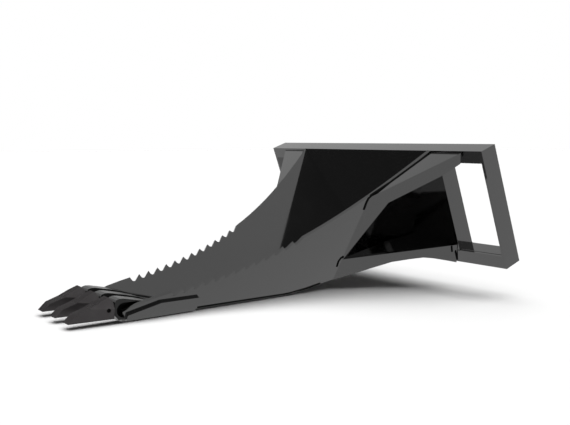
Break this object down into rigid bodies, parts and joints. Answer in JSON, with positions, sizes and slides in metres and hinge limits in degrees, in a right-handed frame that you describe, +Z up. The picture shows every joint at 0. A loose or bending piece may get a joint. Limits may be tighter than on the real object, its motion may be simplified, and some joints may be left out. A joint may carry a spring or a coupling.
{
  "type": "stump bucket",
  "caption": "Narrow loader bucket with flared serrated side plates, pinned teeth on welded adapters, windowed wing braces and a leaning quick attach frame.",
  "frame": {"origin": "the middle of the back plate's rear face, where the loader's coupler plate rests", "axes": "+Z up, -Y towards the teeth, +X to the side that is nearer in the picture"},
  "size_m": [1.143, 1.3982, 0.5191],
  "materials": {
    "steel": "gloss",
    "tooth_steel": "satin"
  },
  "bodies": {
    "root": {"top_rail": "steel", "bottom_rail": "steel", "bottom_shelf": "steel", "end_post_left": "steel", "end_post_right": "steel", "upright_left": "steel", "upright_right": "steel", "back_plate": "steel", "side_plate_left": "steel", "side_plate_right": "steel", "floor_plate": "steel", "cutting_lip": "steel", "cheek_plate_left": "steel", "cheek_plate_right": "steel", "wing_plate_left": "steel", "wing_plate_right": "steel", "wing_flange_left": "steel", "wing_flange_right": "steel", "pocket_floor_left": "steel", "pocket_floor_right": "steel", "adapter_left": "steel", "adapter_centre": "steel", "adapter_right": "steel", "tooth_left": "tooth_steel", "tooth_centre": "tooth_steel", "tooth_right": "tooth_steel", "tooth_pins": "tooth_steel"}
  },
  "joints": []
}
